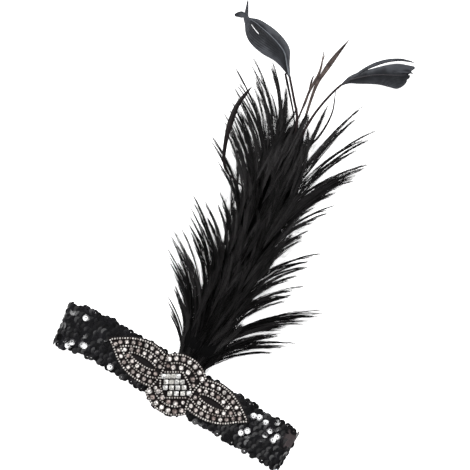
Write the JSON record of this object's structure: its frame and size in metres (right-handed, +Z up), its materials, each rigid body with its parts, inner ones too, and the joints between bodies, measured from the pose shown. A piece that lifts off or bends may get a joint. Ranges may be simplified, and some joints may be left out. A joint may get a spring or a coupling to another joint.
{
  "type": "feather headband",
  "caption": "Stretch sequin headband lying folded flat, with a beaded leaf-and-medallion ornament, a black hackle plume and trimmed leaf feathers.",
  "frame": {"origin": "on the surface that the headband lies on, under the middle of the ornament", "axes": "+X along the band, +Y towards the plume's tip, +Z up from the surface"},
  "size_m": [0.2457, 0.3963, 0.0275],
  "materials": {
    "sequin_cloth": "black cup sequins on elastic cloth",
    "felt": "black wool felt",
    "beadwork": "gunmetal seed beads and round cut stones on embroidered cloth",
    "clear_stone": "foil-backed clear cut stone in a metal cup",
    "hackle": "dyed black rooster hackle",
    "leaf_feather": "trimmed dyed feather vane",
    "quill_strip": "dyed quill strip"
  },
  "bodies": {
    "root": {"sequin_band": "sequin_cloth", "applique_backing": "felt", "beadwork_left_wing": "beadwork", "beadwork_right_wing": "beadwork", "beadwork_medallion": "beadwork", "square_stone_01": "clear_stone", "square_stone_02": "clear_stone", "square_stone_03": "clear_stone", "square_stone_04": "clear_stone", "square_stone_05": "clear_stone", "square_stone_06": "clear_stone", "square_stone_07": "clear_stone", "square_stone_08": "clear_stone", "square_stone_09": "clear_stone", "square_stone_10": "clear_stone", "square_stone_11": "clear_stone", "square_stone_12": "clear_stone", "square_stone_13": "clear_stone", "square_stone_14": "clear_stone", "square_stone_15": "clear_stone", "square_stone_16": "clear_stone", "hackle_plume": "hackle", "leaf_feather_left": "leaf_feather", "leaf_feather_right": "leaf_feather", "spear_feather": "quill_strip", "split_feather": "quill_strip", "curl_feather": "quill_strip"}
  },
  "joints": []
}
